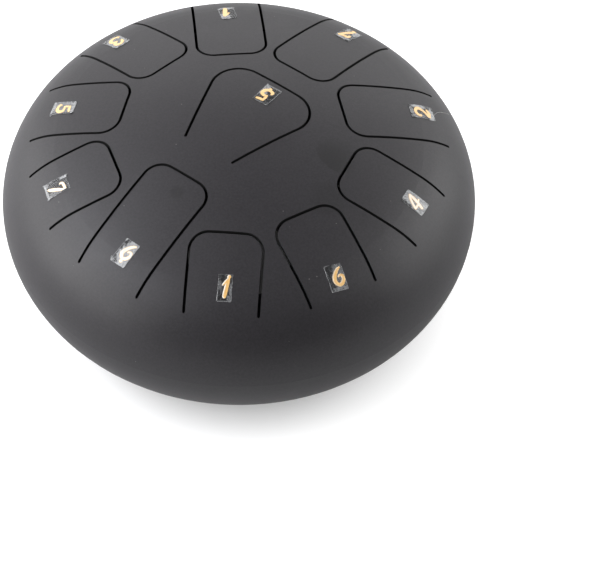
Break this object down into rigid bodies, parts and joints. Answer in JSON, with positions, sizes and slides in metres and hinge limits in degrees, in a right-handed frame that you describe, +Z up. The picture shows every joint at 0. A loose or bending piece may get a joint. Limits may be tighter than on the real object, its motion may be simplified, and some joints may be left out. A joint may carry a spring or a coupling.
{
  "type": "steel tongue drum",
  "caption": "Free-standing round steel drum of two domed shells, with tongues cut in the top that ring when struck, a sound hole below, rubber feet and number films.",
  "frame": {"origin": "on the table, under the middle of the drum", "axes": "+Z up along the drum's axis; the shortest tongue, the high one, points along -Y; +X to its right as seen from the front"},
  "size_m": [0.254, 0.254, 0.1277],
  "materials": {
    "painted_steel": "matte, fine-grained",
    "foot_rubber": "moulded, matte",
    "plated_steel": "zinc plated",
    "clear_film": "clear film with pale gold print"
  },
  "bodies": {
    "root": {"upper_shell": "painted_steel", "lower_shell": "painted_steel", "foot_1": "foot_rubber", "foot_2": "foot_rubber", "foot_3": "foot_rubber", "foot_4": "foot_rubber", "foot_washer_1": "plated_steel", "foot_washer_2": "plated_steel", "foot_washer_3": "plated_steel", "foot_washer_4": "plated_steel", "foot_screw_1": "plated_steel", "foot_screw_2": "plated_steel", "foot_screw_3": "plated_steel", "foot_screw_4": "plated_steel", "number_film_low_five": "clear_film", "number_film_low_six": "clear_film", "number_film_low_seven": "clear_film", "number_film_one": "clear_film", "number_film_two": "clear_film", "number_film_three": "clear_film", "number_film_four": "clear_film", "number_film_five": "clear_film", "number_film_six": "clear_film", "number_film_seven": "clear_film", "number_film_high_one": "clear_film"}
  },
  "joints": []
}
